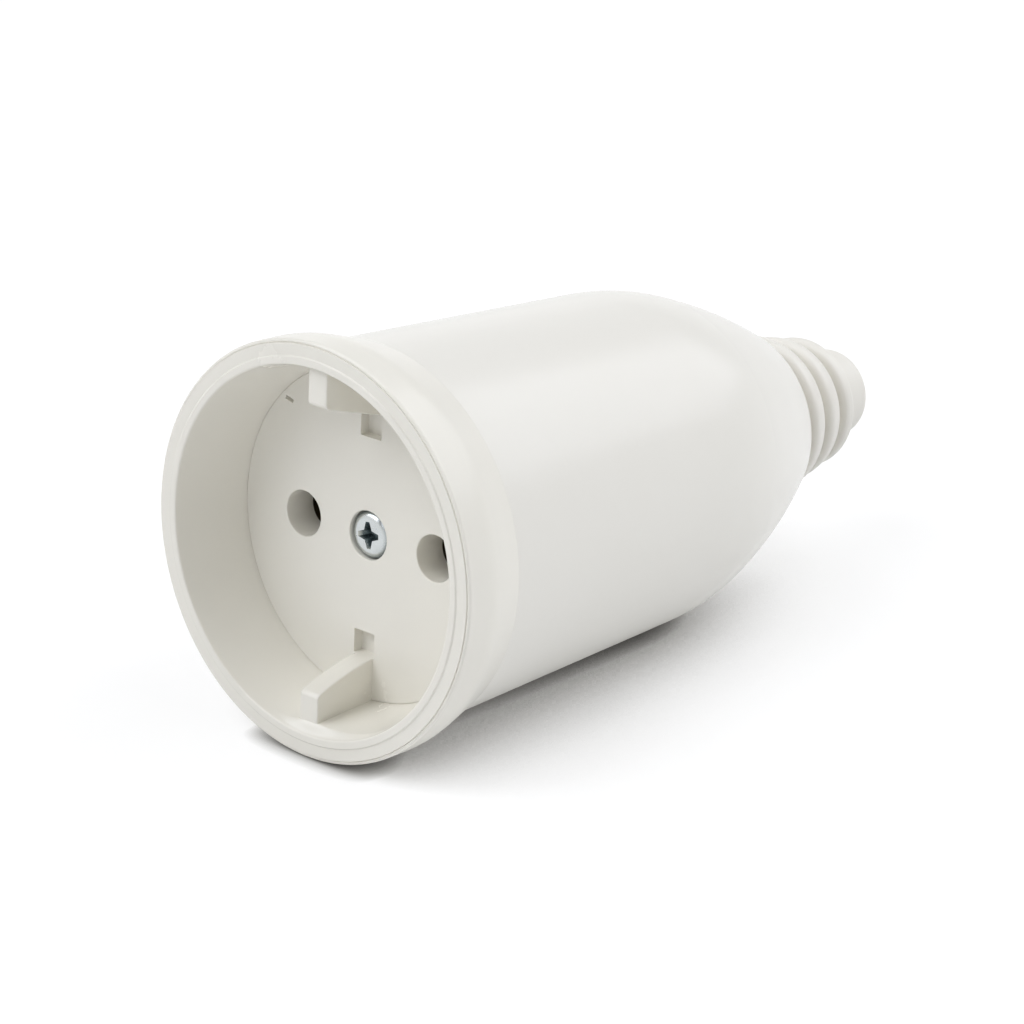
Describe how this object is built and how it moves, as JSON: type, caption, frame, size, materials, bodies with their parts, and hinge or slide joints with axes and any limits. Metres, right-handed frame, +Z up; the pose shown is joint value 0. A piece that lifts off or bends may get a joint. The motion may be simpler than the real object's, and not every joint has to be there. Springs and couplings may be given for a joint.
{
  "type": "inline socket connector",
  "caption": "Rewireable inline mains socket for round-pin plugs: flared rim round a deep well with guide fins, tapered bullet-shaped body and a ribbed cord sleeve.",
  "frame": {"origin": "on the ground below the middle of the bounding box, as the socket lies on its side", "axes": "+Y along the axis from the mouth to the cord entry, +Z up, +X to the right seen from in front of the mouth"},
  "size_m": [0.0448, 0.0926, 0.0448],
  "materials": {
    "front_moulding": "satin moulded",
    "rear_moulding": "satin moulded",
    "soft_sleeve": "soft satin",
    "clamp_moulding": "satin moulded",
    "plated_screw": "zinc plated",
    "plated_nut": "zinc plated",
    "contact_brass": "drawn",
    "spring_steel": "blued spring steel"
  },
  "bodies": {
    "root": {"front_socket": "front_moulding", "rear_body": "rear_moulding", "cord_sleeve": "soft_sleeve", "cord_clamp": "clamp_moulding", "centre_screw": "plated_screw", "centre_nut": "plated_nut", "clamp_screw_left": "plated_screw", "clamp_screw_right": "plated_screw", "terminal_screw_left": "plated_screw", "terminal_screw_right": "plated_screw", "terminal_plate_left": "plated_nut", "terminal_plate_right": "plated_nut", "contact_left": "contact_brass", "contact_right": "contact_brass", "contact_clip_left": "spring_steel", "contact_clip_right": "spring_steel"}
  },
  "joints": []
}
